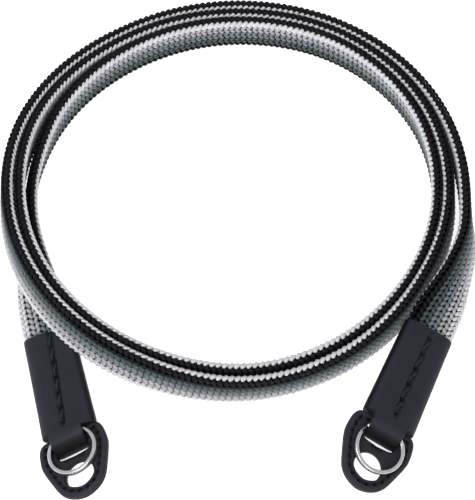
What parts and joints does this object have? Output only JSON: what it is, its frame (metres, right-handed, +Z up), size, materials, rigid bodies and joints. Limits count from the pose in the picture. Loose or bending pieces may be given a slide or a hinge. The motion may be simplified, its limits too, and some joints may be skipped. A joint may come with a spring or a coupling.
{
  "type": "silk camera strap",
  "caption": "Long flat knitted silk camera strap lying in a loose coil, with stitched leather end sheaths, split rings and leather lug protectors.",
  "frame": {"origin": "middle of the bounding box's underside, on the surface the strap lies on", "axes": "+Z up, -Y towards the side where the two leather ends lie, +X towards the right-hand end"},
  "size_m": [0.1534, 0.1796, 0.0254],
  "materials": {
    "silk_black": "soft knitted silk, black",
    "silk_green": "soft knitted silk, grey green",
    "silk_blue": "soft knitted silk, blue grey",
    "silk_grey": "soft knitted silk, pale warm grey",
    "silk_white": "soft knitted silk, white",
    "leather": "matte smooth calf leather",
    "thread": "waxed thread",
    "steel": "polished"
  },
  "bodies": {
    "root": {"silk_band": "silk_black", "right_leather_sheath": "leather", "left_leather_sheath": "leather", "right_lug_protector": "leather", "left_lug_protector": "leather", "right_split_ring": "steel", "left_split_ring": "steel"}
  },
  "joints": []
}
